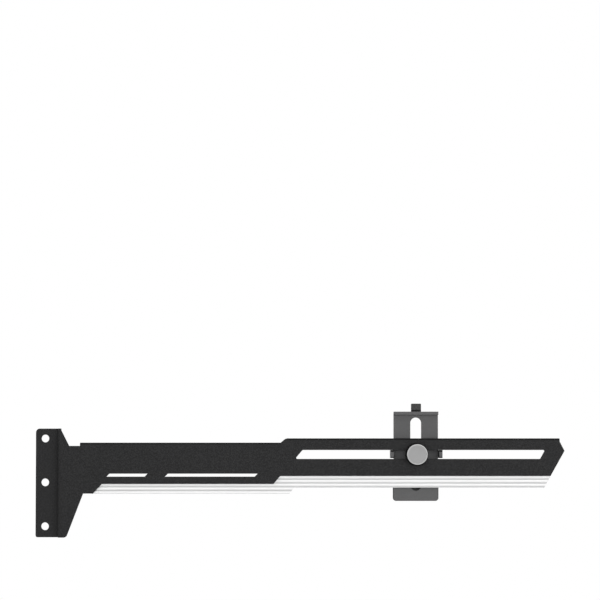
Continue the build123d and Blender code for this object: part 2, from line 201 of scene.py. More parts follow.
class BracketStage(bpy.types.PropertyGroup):
    """Floor, light and camera."""

    floor_drop: length("Floor", "How far the floor lies under the frame's origin", 0.09, 0.03, 0.5)
    key_power: number("Key", "Power of the wide lamp in front", 10.0, 0.0, 100.0, unit="POWER")
    rim_power: number("Rim", "Power of the lamp behind", 4.0, 0.0, 100.0, unit="POWER")
    room_level: number("Room", "Level of the even light from all round", 0.7, 0.0, 2.0, subtype="FACTOR")
    lens: number("Lens", "Focal length of the camera, in millimetres", 121.52, 20.0, 400.0)
    pitch: number("Pitch", "Upward turn of the camera", math.radians(2.235), -0.5, 0.5, subtype="ANGLE")
    rise: number("Rise", "Upward shift, as a share of the frame's width", 0.12, 0.0, 0.5, subtype="FACTOR")
    distance: length("Distance", "Distance of the camera from the flange", 0.941, 0.2, 5.0)
    eye_along: length("Eye along", "Place of the camera along the arm", 0.1181, -1.0, 1.0)
    eye_height: length("Eye height", "Height of the camera over the origin", 0.0145, -1.0, 1.0)


# Modelling helpers


def select_only(piece):
    """Make a piece the one that is selected and active."""
    bpy.ops.object.select_all(action="DESELECT")
    piece.select_set(True)
    bpy.context.view_layer.objects.active = piece


def start_edit(piece):
    """Go into edit mode on a piece, with all of its points selected."""
    select_only(piece)
    bpy.ops.object.mode_set(mode="EDIT")
    bpy.ops.mesh.select_mode(type="VERT")
    bpy.ops.mesh.select_all(action="SELECT")


def end_edit():
    """Go back to object mode."""
    bpy.ops.object.mode_set(mode="OBJECT")


def pick_faces(piece, test):
    """In edit mode, select the faces whose middle and normal pass the test."""
    bpy.ops.mesh.select_mode(type="FACE")
    bpy.ops.mesh.select_all(action="DESELECT")
    shape = bmesh.from_edit_mesh(piece.data)
    for face in shape.faces:
        face.select_set(test(face.calc_center_median(), face.normal))
    bmesh.update_edit_mesh(piece.data)


def pick_points(piece, test):
    """In edit mode, select the points that pass the test."""
    bpy.ops.mesh.select_mode(type="VERT")
    bpy.ops.mesh.select_all(action="DESELECT")
    shape = bmesh.from_edit_mesh(piece.data)
    for point in shape.verts:
        point.select_set(test(point.co))
    bmesh.update_edit_mesh(piece.data)


def paint_picked(piece, index):
    """In edit mode, give the selected faces a material slot."""
    shape = bmesh.from_edit_mesh(piece.data)
    for face in shape.faces:
        if face.select:
            face.material_index = index
    bmesh.update_edit_mesh(piece.data)


def push_picked(offset, scale):
    """In edit mode, extrude the selected faces by an offset and scale their ends."""
    bpy.ops.mesh.extrude_region_move(TRANSFORM_OT_translate={"value": offset})
    bpy.ops.transform.resize(value=scale)


def apply_modifier(piece, kind, **settings):
    """Add a modifier with its settings and apply it."""
    modifier = piece.modifiers.new(kind.lower(), kind)
    for name, value in settings.items():
        setattr(modifier, name, value)
    select_only(piece)
    bpy.ops.object.modifier_apply(modifier=modifier.name)


def close_shape(piece):
    """Merge doubles and turn all faces outwards."""
    start_edit(piece)
    bpy.ops.mesh.remove_doubles(threshold=MERGE_DISTANCE)
    bpy.ops.mesh.normals_make_consistent(inside=False)
    end_edit()


def smooth(piece):
    """Shade a piece smooth across its small angles, with the large faces flat."""
    select_only(piece)
    bpy.ops.object.shade_smooth_by_angle(angle=SHARP_ANGLE)
    apply_modifier(piece, "WEIGHTED_NORMAL", keep_sharp=True)


def round_edges(piece, width, edge_slot=-1):
    """Round the sharp edges of a piece, give them a material slot, and shade it."""
    apply_modifier(
        piece,
        "BEVEL",
        width=width,
        segments=2,
        limit_method="ANGLE",
        angle_limit=SHARP_ANGLE,
        material=edge_slot,
    )
    smooth(piece)


def copy_of_node(node, name):
    """Copy a CAD node into a piece of its own, with its triangles merged into flat faces."""
    piece = bpy.data.objects.new(name, nodes[node].data.copy())
    bpy.context.scene.collection.objects.link(piece)
    piece.data.materials.clear()
    start_edit(piece)
    bpy.ops.mesh.customdata_custom_splitnormals_clear()
    bpy.ops.mesh.remove_doubles(threshold=MERGE_DISTANCE)
    bpy.ops.mesh.dissolve_limited(angle_limit=FLAT_ANGLE)
    end_edit()
    return piece


def solids_of(node):
    """Boxes of the separate solids in a CAD node, from left to right."""
    shape = bmesh.new()
    shape.from_mesh(nodes[node].data)
    bmesh.ops.remove_doubles(shape, verts=shape.verts, dist=MERGE_DISTANCE)
    waiting = set(shape.verts)
    boxes = []
    while waiting:
        group = [waiting.pop()]
        for point in group:
            for edge in point.link_edges:
                other = edge.other_vert(point)
                if other in waiting:
                    waiting.remove(other)
                    group.append(other)
        low = Vector(min(point.co[axis] for point in group) for axis in range(3))
        high = Vector(max(point.co[axis] for point in group) for axis in range(3))
        boxes.append((low, high))
    shape.free()
    return sorted(boxes, key=lambda box: box[0].x)


def middle(box):
    """Middle of a box."""
    return (box[0] + box[1]) / 2


def size_of(box):
    """Size of a box along each axis."""
    return box[1] - box[0]


def front_of(box):
    """Middle of a box's front face."""
    return (middle(box).x, box[0].y, middle(box).z)


def add_block(name, size, place=(0.0, 0.0, 0.0)):
    """Add a block of a size, with its middle at a place."""
    bpy.ops.mesh.primitive_cube_add(size=1.0, location=place)
    piece = bpy.context.active_object
    piece.name = name
    piece.scale = size
    select_only(piece)
    bpy.ops.object.transform_apply(location=True, rotation=True, scale=True)
    return piece


def draw_line(name, points):
    """Draw an open line of points in a new piece, from one point that is extruded on."""
    bpy.ops.mesh.primitive_plane_add(size=1.0)
    piece = bpy.context.active_object
    piece.name = name
    start_edit(piece)
    bpy.ops.mesh.merge(type="CENTER")
    bpy.ops.transform.translate(value=points[0])
    for before, after in zip(points, points[1:]):
        bpy.ops.mesh.extrude_region_move(TRANSFORM_OT_translate={"value": Vector(after) - Vector(before)})
    end_edit()
    return piece


def turn(name, profile, steps):
    """Turn a closed solid about the Y axis from a profile of (radius, y) that starts and ends on it."""
    piece = draw_line(name, [(radius, y, 0.0) for radius, y in profile])
    start_edit(piece)
    bpy.ops.mesh.spin(steps=steps, angle=math.tau, center=(0, 0, 0), axis=(0, 1, 0))
    end_edit()
    close_shape(piece)
    return piece


def cut_with(piece, tool, operation):
    """Cut a piece with a tool piece, which is then removed."""
    apply_modifier(piece, "BOOLEAN", object=tool, operation=operation, solver="EXACT")
    bpy.data.objects.remove(tool)


def thread(name, radius, pitch, reach, lead_in, steps=28):
    """Model a threaded rod along Y from 0 to reach, with a chamfer of lead_in at its far end."""
    root = radius - 0.54 * pitch
    crest_start = -0.6 * pitch
    crest_end = -0.45 * pitch
    flank_end = -0.05 * pitch
    spare_turns = 3
    profile = [
        (root, -pitch, 0.0),
        (radius, crest_start, 0.0),
        (radius, crest_end, 0.0),
        (root, flank_end, 0.0),
        (root, 0.0, 0.0),
    ]
    rod = draw_line(name, profile)
    apply_modifier(
        rod,
        "SCREW",
        axis="Y",
        screw_offset=pitch,
        iterations=math.ceil(reach / pitch) + spare_turns,
        steps=steps,
        render_steps=steps,
        use_merge_vertices=True,
        merge_threshold=MERGE_DISTANCE,
    )
    close_shape(rod)
    start_edit(rod)
    for cut, outward in ((pitch, -1), (pitch + reach, 1)):
        bpy.ops.mesh.select_all(action="SELECT")
        bpy.ops.mesh.bisect(
            plane_co=(0, cut, 0),
            plane_no=(0, outward, 0),
            use_fill=True,
            clear_outer=True,
            threshold=CUT_THRESHOLD,
        )
    bpy.ops.mesh.select_all(action="SELECT")
    bpy.ops.transform.translate(value=(0, -pitch, 0))
    end_edit()
    close_shape(rod)
    outside = radius * 1.05
    envelope = [
        (0.0, -pitch),
        (outside, -pitch),
        (outside, reach - lead_in - (outside - radius)),
        (radius - lead_in, reach),
        (0.0, reach),
    ]
    cut_with(rod, turn("envelope", envelope, 48), "INTERSECT")
    return rod


def hex_nut(name, flats, height, bore, lead_in):
    """Model a hex nut along Y from 0 to height, corners along X, with chamfered corners and bore."""
    corner = flats / math.sqrt(3)
    bpy.ops.mesh.primitive_cylinder_add(
        vertices=6,
        radius=corner,
        depth=height,
        location=(0, height / 2, 0),
        rotation=(math.pi / 2, math.pi / 6, 0),
    )
    nut = bpy.context.active_object
    nut.name = name
    select_only(nut)
    bpy.ops.object.transform_apply(location=True, rotation=True, scale=True)
    face = 0.48 * flats
    rise = (corner - face) * math.tan(math.radians(30))
    outside = corner * 1.001
    envelope = [
        (0.0, 0.0),
        (face, 0.0),
        (outside, rise),
        (outside, height - rise),
        (face, height),
        (0.0, height),
    ]
    cut_with(nut, turn("envelope", envelope, 64), "INTERSECT")
    mouth = bore + 2 * lead_in
    drill = [
        (0.0, -lead_in),
        (mouth, -lead_in),
        (bore, lead_in),
        (bore, height - lead_in),
        (mouth, height + lead_in),
        (0.0, height + lead_in),
    ]
    cut_with(nut, turn("drill", drill, 40), "DIFFERENCE")
    return nut


def copy_to(piece, places):
    """Copy a modelled piece to each place, and join the copies into one piece at the origin."""
    copies = []
    for place in places:
        select_only(piece)
        bpy.ops.object.duplicate(linked=False)
        copy = bpy.context.active_object
        copy.location = place
        copies.append(copy)
    name = piece.name
    bpy.data.objects.remove(piece)
    bpy.ops.object.select_all(action="DESELECT")
    for copy in copies:
        copy.select_set(True)
    bpy.context.view_layer.objects.active = copies[0]
    if len(copies) > 1:
        bpy.ops.object.join()
    bpy.ops.object.transform_apply(location=True, rotation=True, scale=True)
    joined = bpy.context.active_object
    joined.name = name
    return joined


def finish_piece(piece, body, node, materials):
    """Give a piece its finishes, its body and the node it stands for."""
    if not piece.data.polygons:
        raise RuntimeError(f"{piece.name} has no faces")
    faces = list(piece.data.polygons)
    indices = [face.material_index for face in faces]
    piece.data.materials.clear()
    for material in materials:
        piece.data.materials.append(material)
    for face, index in zip(faces, indices):
        face.material_index = min(index, len(materials) - 1)
    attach(piece, body)
    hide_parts(node)


def dress_copy(node, name, width, body, materials):
    """Make a piece from a CAD node with rounded edges, which take the second finish where there is one."""
    piece = copy_of_node(node, name)
    round_edges(piece, width, edge_slot=1 if len(materials) > 1 else -1)
    finish_piece(piece, body, node, materials)


def dress_node(node, material):
    """Give a CAD node that stays its finish."""
    piece = nodes[node]
    piece.data.materials.clear()
    piece.data.materials.append(material)


# Shader node helpers


def put(tree, kind, values=None, **settings):
    """Add a node, set its own settings, and set or link its inputs."""
    node = tree.nodes.new(kind)
    for name, value in settings.items():
        setattr(node, name, value)
    for key, value in (values or {}).items():
        if isinstance(value, bpy.types.NodeSocket):
            tree.links.new(value, node.inputs[key])
        else:
            node.inputs[key].default_value = value
    return node


def blank_tree(owner):
    """Empty node tree of a material or of the world."""
    owner.use_nodes = True
    owner.node_tree.nodes.clear()
    return owner.node_tree


def place_on(tree):
    """Place on the piece, in object coordinates."""
    return put(tree, "ShaderNodeTexCoord").outputs["Object"]


def parts_of(tree, vector):
    """X, Y and Z of a vector."""
    return put(tree, "ShaderNodeSeparateXYZ", {"Vector": vector}).outputs


def reckon(tree, operation, first, second=0.0):
    """Result of a maths step on one or two values."""
    return put(tree, "ShaderNodeMath", {0: first, 1: second}, operation=operation).outputs[0]


def remap(tree, value, low, high, to=(0.0, 1.0), soft=False):
    """A value mapped from the range low to high onto another range, with soft ends if wanted."""
    values = {"Value": value, "From Min": low, "From Max": high, "To Min": to[0], "To Max": to[1]}
    kind = "SMOOTHSTEP" if soft else "LINEAR"
    return put(tree, "ShaderNodeMapRange", values, interpolation_type=kind).outputs[0]


def noise(tree, density, detail, roughness):
    """Noise of a density over the piece."""
    values = {"Vector": place_on(tree), "Scale": density, "Detail": detail, "Roughness": roughness}
    return put(tree, "ShaderNodeTexNoise", values).outputs[0]


def scaled_colour(base, factor):
    """A colour made darker or lighter by a factor."""
    return tuple(min(1.0, channel * factor) for channel in base)


def blend_colours(tree, mask, first, second):
    """Blend two colours, the first of which may be a socket, by a mask."""
    start = first if isinstance(first, bpy.types.NodeSocket) else (*first, 1.0)
    # The colours go in at sockets 6 and 7 and come out at 2
    values = {0: mask, 6: start, 7: (*second, 1.0)}
    return put(tree, "ShaderNodeMix", values, data_type="RGBA").outputs[2]


# Node groups that several finishes share


def new_group(name, inputs, outputs):
    """Start a shader node group of plain values."""
    tree = bpy.data.node_groups.new(name, "ShaderNodeTree")
    for label, default in inputs.items():
        socket = tree.interface.new_socket(label, in_out="INPUT", socket_type="NodeSocketFloat")
        socket.default_value = default
    for label in outputs:
        tree.interface.new_socket(label, in_out="OUTPUT", socket_type="NodeSocketFloat")
    return tree, tree.nodes.new("NodeGroupInput").outputs


def close_group(tree, results):
    """Link a group's results to its outputs."""
    put(tree, "NodeGroupOutput", results)
    return tree


def fine_grain():
    """Even grain, as of a powder coat or a moulded face: its height, and flecks on its high spots."""
    if "fine_grain" in bpy.data.node_groups:
        return bpy.data.node_groups["fine_grain"]
    tree, given = new_group("fine_grain", {"Density": 2500.0}, ["Height", "Fleck"])
    bumps = noise(tree, given["Density"], detail=2.0, roughness=0.55)
    flecks = remap(tree, bumps, 0.35, 0.68, soft=True)
    return close_group(tree, {"Height": bumps, "Fleck": flecks})


def handling():
    """Slow cloudy change of sheen over a surface, between two roughness values."""
    if "handling" in bpy.data.node_groups:
        return bpy.data.node_groups["handling"]
    tree, given = new_group("handling", {"Density": 60.0, "Low": 0.5, "High": 0.6}, ["Roughness"])
    cloud = noise(tree, given["Density"], detail=4.0, roughness=0.6)
    return close_group(tree, {"Roughness": remap(tree, cloud, 0.3, 0.7, to=(given["Low"], given["High"]))})


def tool_lines():
    """Fine lines left by a tool that goes round the Y axis: their height and a broken mask."""
    if "tool_lines" in bpy.data.node_groups:
        return bpy.data.node_groups["tool_lines"]
    tree, given = new_group("tool_lines", {"X": 0.0, "Z": 0.0, "Density": 9000.0}, ["Height", "Mask"])
    place = parts_of(tree, place_on(tree))
    across = reckon(tree, "SUBTRACT", place["X"], given["X"])
    up = reckon(tree, "SUBTRACT", place["Z"], given["Z"])
    flat = put(tree, "ShaderNodeCombineXYZ", {"X": across, "Y": up}).outputs[0]
    radius = put(tree, "ShaderNodeVectorMath", {0: flat}, operation="LENGTH").outputs["Value"]
    along = reckon(tree, "ADD", place["Y"], radius)
    scaled = reckon(tree, "MULTIPLY", along, given["Density"])
    values = {"W": scaled, "Scale": 1.0, "Detail": 3.0, "Roughness": 0.65}
    lines = put(tree, "ShaderNodeTexNoise", values, noise_dimensions="1D").outputs[0]
    return close_group(tree, {"Height": lines, "Mask": remap(tree, lines, 0.35, 0.65)})


# Finishes


def new_finish(name):
    """Start a material with a Principled shader, and return the material, its tree and the shader."""
    material = bpy.data.materials.new(name)
    tree = blank_tree(material)
    shader = put(tree, "ShaderNodeBsdfPrincipled")
    put(tree, "ShaderNodeOutputMaterial", {"Surface": shader.outputs["BSDF"]})
    return material, tree, shader


def place_group(tree, group, values):
    """Place a node group in a material, with its own values."""
    return put(tree, "ShaderNodeGroup", values, node_tree=group).outputs


def raise_bump(tree, shader, height, depth, strength=1.0):
    """Link a height to the shader's normal through a bump of that depth."""
    bump = put(tree, "ShaderNodeBump", {"Height": height, "Distance": depth, "Strength": strength})
    tree.links.new(bump.outputs["Normal"], shader.inputs["Normal"])


def add_grain(tree, shader, density, depth):
    """Raise a fine grain on the shader's normal, and return its outputs."""
    grain = place_group(tree, fine_grain(), {"Density": density})
    raise_bump(tree, shader, grain["Height"], depth)
    return grain


def add_sheen(tree, shader, rough, density=60.0):
    """Give the shader a cloudy roughness between two values."""
    sheen = place_group(tree, handling(), {"Density": density, "Low": rough[0], "High": rough[1]})
    tree.links.new(sheen["Roughness"], shader.inputs["Roughness"])


def grained_finish(name, base):
    """Finish with a fine grain, flecks on its high spots and a cloudy sheen."""
    if name in bpy.data.materials:
        return bpy.data.materials[name]
    kind = GRAINS[name]
    material, tree, shader = new_finish(name)
    grain = add_grain(tree, shader, kind.density, kind.depth)
    add_sheen(tree, shader, kind.rough)
    dark = scaled_colour(base, kind.fleck[0])
    light = scaled_colour(base, kind.fleck[1])
    tree.links.new(blend_colours(tree, grain["Fleck"], dark, light), shader.inputs["Base Color"])
    shader.inputs["Specular IOR Level"].default_value = kind.specular
    return material


def metal_finish(name, base, axis=(0.0, 0.0)):
    """Bare or plated metal with the lines of a tool that goes round an axis along Y."""
    if name in bpy.data.materials:
        return bpy.data.materials[name]
    kind = METALS[name]
    material, tree, shader = new_finish(name)
    lines = place_group(tree, tool_lines(), {"X": axis[0], "Z": axis[1], "Density": kind.density})
    add_sheen(tree, shader, kind.rough, density=400.0)
    dark = scaled_colour(base, 0.94)
    light = scaled_colour(base, 1.05)
    tree.links.new(blend_colours(tree, lines["Mask"], dark, light), shader.inputs["Base Color"])
    shader.inputs["Metallic"].default_value = 1.0
    raise_bump(tree, shader, lines["Height"], kind.depth, strength=0.5)
    return material


def black_coat(base):
    """Powder coat of the arm, with painted shade over the upward-turned folds along its lips."""
    material = grained_finish("arm_coat", base)
    tree = material.node_tree
    colour_socket = tree.nodes["Principled BSDF"].inputs["Base Color"]
    # Painted shade: the coat is made darker where its normal turns up, over the lips' folds, in place of the
    # little light that comes from above
    tilt = parts_of(tree, put(tree, "ShaderNodeNewGeometry").outputs["Normal"])["Z"]
    turned_up = remap(tree, tilt, 0.4, 0.62, soft=True)
    not_level = remap(tree, tilt, 0.9, 0.99, to=(1.0, 0.0))
    painted_fold_shade = reckon(tree, "MULTIPLY", turned_up, not_level)
    coat = colour_socket.links[0].from_socket
    tree.links.new(blend_colours(tree, painted_fold_shade, coat, scaled_colour(base, 0.35)), colour_socket)
    return material


def ear_shade_coat(base, slot_middle):
    """Grey coat on the clip's ears, with painted shade well above and below the middle of the arm's slot."""
    material, tree, shader = new_finish("plate_coat_rubbed")
    # Painted shade: the ears go near black beyond a band round the slot's middle, where the slot's edges
    # would shade them
    height = parts_of(tree, place_on(tree))["Z"]
    away = reckon(tree, "ABSOLUTE", reckon(tree, "SUBTRACT", height, slot_middle))
    ear_shade = remap(tree, away, EAR_UNSHADED - EAR_SHADE_FADE, EAR_UNSHADED + EAR_SHADE_FADE, soft=True)
    tree.links.new(blend_colours(tree, ear_shade, base, scaled_colour(base, 0.05)), shader.inputs["Base Color"])
    shader.inputs["Specular IOR Level"].default_value = 0.1
    add_sheen(tree, shader, (0.5, 0.6))
    add_grain(tree, shader, density=4200.0, depth=0.00002)
    return material


def zinc():
    """Bright zinc plating of nuts, washers and studs."""
    return metal_finish("zinc_plating", bpy.context.scene.bracket_colours.zinc)


def tin():
    """Tinned ends of the small parts on the board."""
    return metal_finish("tin", bpy.context.scene.bracket_colours.tin)


def milky_plastic(base):
    """Milky plastic of the light guide, with an etch down its rib slopes that also carries painted shade,
    deepening towards each crevice, and polished between.
    """
    material, tree, shader = new_finish("milky_plastic")
    slope_share = RIB_SLOPE / RIB_PITCH
    slope_blur = 0.03
    height = parts_of(tree, place_on(tree))["Z"]
    ribs = reckon(tree, "DIVIDE", reckon(tree, "SUBTRACT", RIB_TOP, height), RIB_PITCH)
    share = reckon(tree, "FRACT", ribs)
    # The slope mask sets both the etch's roughness and the painted shade
    etch_and_shade = remap(tree, share, slope_share + slope_blur, slope_share - slope_blur, soft=True)
    # Painted shade: the slope's colour darkens towards the crevice under each rib's step
    depth = remap(tree, share, 0.0, slope_share, to=(0.15, 1.0))
    shade = reckon(tree, "MULTIPLY", etch_and_shade, depth)
    tree.links.new(blend_colours(tree, shade, base, scaled_colour(base, 0.58)), shader.inputs["Base Color"])
    tree.links.new(remap(tree, etch_and_shade, 0.0, 1.0, to=(0.25, 0.5)), shader.inputs["Roughness"])
    shader.inputs["Subsurface Weight"].default_value = 0.15
    shader.inputs["Subsurface Radius"].default_value = (0.001, 0.001, 0.001)
    shader.inputs["Subsurface Scale"].default_value = 1.0
    add_grain(tree, shader, density=1200.0, depth=0.00001)
    return material


def solder_mask(base):
    """White mask of the board over its copper, which shows as faint raised tracks."""
    material, tree, shader = new_finish("solder_mask")
    upright = {"Vector": place_on(tree), "Rotation": (math.pi / 2, 0.0, 0.0)}
    layout = {
        "Vector": put(tree, "ShaderNodeMapping", upright).outputs[0],
        "Scale": 1.0,
        "Mortar Size": 0.0004,
        "Mortar Smooth": 0.2,
        "Brick Width": 0.0166,
        "Row Height": 0.0021,
    }
    tracks = put(tree, "ShaderNodeTexBrick", layout).outputs["Fac"]
    tree.links.new(blend_colours(tree, tracks, base, scaled_colour(base, 0.86)), shader.inputs["Base Color"])
    add_sheen(tree, shader, (0.3, 0.42))
    raise_bump(tree, shader, tracks, 0.00003)
    return material


# Pieces of the arm


class BRACKET_OT_arm(bpy.types.Operator):
    """Make the folded arm with softened cut edges and its black powder coat"""

    bl_idname = "bracket.arm"
    bl_label = "Arm"

    def execute(self, context):
        base = context.scene.bracket_colours.black_coat
        width = context.scene.bracket_edges.sheet
        finishes = [black_coat(base), grained_finish("arm_coat_edge", base)]
        dress_copy("arm_plate", "arm_sheet", width, "arm", finishes)
        return {"FINISHED"}


class BRACKET_OT_light_guide(bpy.types.Operator):
    """Make the ribbed light guide with softened rib edges and its milky plastic"""

    bl_idname = "bracket.light_guide"
    bl_label = "Light guide"

    def execute(self, context):
        width = context.scene.bracket_edges.guide
        finish = milky_plastic(context.scene.bracket_colours.milky)
        dress_copy("light_guide", "guide_strip", width, "arm", [finish])
        return {"FINISHED"}


class BRACKET_OT_carrier(bpy.types.Operator):
    """Make the moulded carrier of the light bar"""

    bl_idname = "bracket.carrier"
    bl_label = "Carrier"

    def execute(self, context):
        width = context.scene.bracket_edges.moulded
        finish = grained_finish("carrier_plastic", context.scene.bracket_colours.black_plastic)
        dress_copy("light_carrier", "carrier_moulding", width, "arm", [finish])
        return {"FINISHED"}


class BRACKET_OT_board(bpy.types.Operator):
    """Finish the circuit board with its solder mask"""

    bl_idname = "bracket.board"
    bl_label = "Board"

    def execute(self, context):
        dress_node("led_board", solder_mask(context.scene.bracket_colours.solder_mask))
        return {"FINISHED"}


class BRACKET_OT_led_packages(bpy.types.Operator):
    """Make the light-emitting packages: one is modelled and copied to each place"""

    bl_idname = "bracket.led_packages"
    bl_label = "Light packages"

    def execute(self, context):
        colours = context.scene.bracket_colours
        boxes = solids_of("leds")
        size = size_of(boxes[0])
        end_margin = 0.0003
        window_margin = 0.00035
        window_corner = 0.0005
        window_depth = 0.0003
        window_taper = (0.86, 1.0, 0.84)
        piece = add_block("led_packages", size)
        start_edit(piece)
        pick_faces(piece, lambda at, normal: abs(normal.x) > SQUARE_ON)
        bpy.ops.mesh.inset(thickness=end_margin)
        paint_picked(piece, 2)
        pick_faces(piece, lambda at, normal: normal.y < -SQUARE_ON)
        bpy.ops.mesh.inset(thickness=window_margin)
        bpy.ops.mesh.bevel(offset=window_corner, segments=3, affect="VERTICES")
        pick_faces(piece, lambda at, normal: normal.y < -SQUARE_ON and at.length < size.y)
        push_picked((0, window_depth, 0), window_taper)
        paint_picked(piece, 1)
        end_edit()
        smooth(piece)
        piece = copy_to(piece, [middle(box) for box in boxes])
        body = grained_finish("package_white", colours.package)
        window = grained_finish("phosphor", colours.phosphor)
        finish_piece(piece, "arm", "leds", [body, window, tin()])
        return {"FINISHED"}


class BRACKET_OT_capacitors(bpy.types.Operator):
    """Make the board's capacitors: one is modelled and copied to each place"""

    bl_idname = "bracket.capacitors"
    bl_label = "Capacitors"

    def execute(self, context):
        boxes = solids_of("board_capacitors")
        size = size_of(boxes[0])
        cap = 0.24 * size.x
        past_cap = 1.02 * cap
        piece = add_block("board_chips", size)
        start_edit(piece)
        for side in (-1, 1):
            bpy.ops.mesh.select_all(action="SELECT")
            bpy.ops.mesh.bisect(plane_co=(side * cap, 0, 0), plane_no=(1, 0, 0), threshold=CUT_THRESHOLD)
        pick_faces(piece, lambda at, normal: abs(at.x) < cap / 2 and abs(normal.x) < 1 - SQUARE_ON)
        bpy.ops.mesh.inset(thickness=0.00004, depth=-0.00003)
        pick_faces(piece, lambda at, normal: abs(at.x) > past_cap)
        paint_picked(piece, 1)
        end_edit()
        round_edges(piece, context.scene.bracket_edges.fastener)
        piece = copy_to(piece, [middle(box) for box in boxes])
        body = grained_finish("ceramic", context.scene.bracket_colours.ceramic)
        finish_piece(piece, "arm", "board_capacitors", [body, tin()])
        return {"FINISHED"}


class BRACKET_OT_inlet(bpy.types.Operator):
    """Make the shroud of the lead inlet"""

    bl_idname = "bracket.inlet"
    bl_label = "Lead inlet"

    def execute(self, context):
        width = context.scene.bracket_edges.moulded
        finish = grained_finish("natural_nylon", context.scene.bracket_colours.nylon)
        dress_copy("lead_socket", "inlet_shroud", width, "arm", [finish])
        return {"FINISHED"}


class BRACKET_OT_pins(bpy.types.Operator):
    """Make the inlet's square pins with pointed tips: one is modelled and copied to each place"""

    bl_idname = "bracket.pins"
    bl_label = "Inlet pins"

    def execute(self, context):
        boxes = solids_of("socket_pins")
        size = size_of(boxes[0])
        point = 0.00045
        tip = (0.45, 1.0, 0.45)
        piece = add_block("inlet_pins", (size.x, size.y - point, size.z), (0, -point / 2, 0))
        start_edit(piece)
        pick_faces(piece, lambda at, normal: normal.y > SQUARE_ON)
        push_picked((0, point, 0), tip)
        end_edit()
        round_edges(piece, context.scene.bracket_edges.fastener)
        piece = copy_to(piece, [middle(box) for box in boxes])
        finish = metal_finish("pin_brass", context.scene.bracket_colours.brass)
        finish_piece(piece, "arm", "socket_pins", [finish])
        return {"FINISHED"}


class BRACKET_OT_weld_studs(bpy.types.Operator):
    """Make the threaded weld studs: one is modelled and copied to each place"""

    bl_idname = "bracket.weld_studs"
    bl_label = "Weld studs"

    def execute(self, context):
        boxes = solids_of("carrier_studs")
        size = size_of(boxes[0])
        pitch = context.scene.bracket_threads.stud_pitch
        piece = thread("weld_studs", size.x / 2, pitch, size.y, lead_in=0.0002, steps=20)
        smooth(piece)
        piece = copy_to(piece, [front_of(box) for box in boxes])
        finish_piece(piece, "arm", "carrier_studs", [zinc()])
        return {"FINISHED"}


class BRACKET_OT_stud_washers(bpy.types.Operator):
    """Make the plain washers of the weld studs, with their stamped edges"""

    bl_idname = "bracket.stud_washers"
    bl_label = "Stud washers"

    def execute(self, context):
        width = context.scene.bracket_edges.fastener
        dress_copy("carrier_washers", "stud_washers", width, "arm", [zinc()])
        return {"FINISHED"}


class BRACKET_OT_stud_nuts(bpy.types.Operator):
    """Make the hex nuts of the weld studs: one is modelled and copied to each place"""

    bl_idname = "bracket.stud_nuts"
    bl_label = "Stud nuts"

    def execute(self, context):
        boxes = solids_of("carrier_nuts")
        size = size_of(boxes[0])
        bore = (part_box("carrier_studs")[1].x - solids_of("carrier_studs")[-1][0].x) / 2
        finer = 0.6
        piece = hex_nut("stud_nuts", size.z, size.y, bore, lead_in=0.0001)
        round_edges(piece, finer * context.scene.bracket_edges.fastener)
        piece = copy_to(piece, [front_of(box) for box in boxes])
        finish_piece(piece, "arm", "carrier_nuts", [zinc()])
        return {"FINISHED"}


# Pieces of the carriage


class BRACKET_OT_lift_plate(bpy.types.Operator):
    """Make the lift plate with softened cut edges and its grey coat"""

    bl_idname = "bracket.lift_plate"
    bl_label = "Lift plate"

    def execute(self, context):
        base = context.scene.bracket_colours.grey_coat
        width = context.scene.bracket_edges.sheet
        finishes = [grained_finish("plate_coat", base), grained_finish("plate_coat_edge", base)]
        dress_copy("lift_plate", "lift_sheet", width, "lift", finishes)
        return {"FINISHED"}


class BRACKET_OT_rest_pad(bpy.types.Operator):
    """Finish the rest pad with its matt rubber"""

    bl_idname = "bracket.rest_pad"
    bl_label = "Rest pad"

    def execute(self, context):
        dress_node("rest_pad", grained_finish("matt_rubber", context.scene.bracket_colours.rubber))
        return {"FINISHED"}


class BRACKET_OT_pad_tape(bpy.types.Operator):
    """Finish the foam tape under the rest pad"""

    bl_idname = "bracket.pad_tape"
    bl_label = "Pad tape"

    def execute(self, context):
        dress_node("pad_tape", grained_finish("foam_tape", context.scene.bracket_colours.tape))
        return {"FINISHED"}


class BRACKET_OT_guide_clip(bpy.types.Operator):
    """Make the guide clip, whose grey coat has painted shade on the ears and on its face behind the lift
    plate
    """

    bl_idname = "bracket.guide_clip"
    bl_label = "Guide clip"

    def execute(self, context):
        base = context.scene.bracket_colours.grey_coat
        piece = copy_of_node("guide_clip", "clip_sheet")
        round_edges(piece, context.scene.bracket_edges.sheet, edge_slot=1)
        ear_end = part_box("guide_clip")[0].y + EAR_ROUND
        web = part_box("lift_plate")[1].y
        start_edit(piece)
        # The ears' front faces take the coat with painted shade
        pick_faces(piece, lambda at, normal: at.y < ear_end)
        paint_picked(piece, 2)
        # The face just behind the lift plate takes the darker coat, which is painted shade between the parts
        pick_faces(piece, lambda at, normal: normal.y < -SQUARE_ON and web < at.y < web + WEB_SHADE_REACH)
        paint_picked(piece, 3)
        end_edit()
        finishes = [
            grained_finish("plate_coat", base),
            grained_finish("plate_coat_edge", base),
            ear_shade_coat(base, middle(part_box("thumb_stud")).z),
            grained_finish("plate_coat_worn", base),
        ]
        finish_piece(piece, "carriage", "guide_clip", finishes)
        return {"FINISHED"}


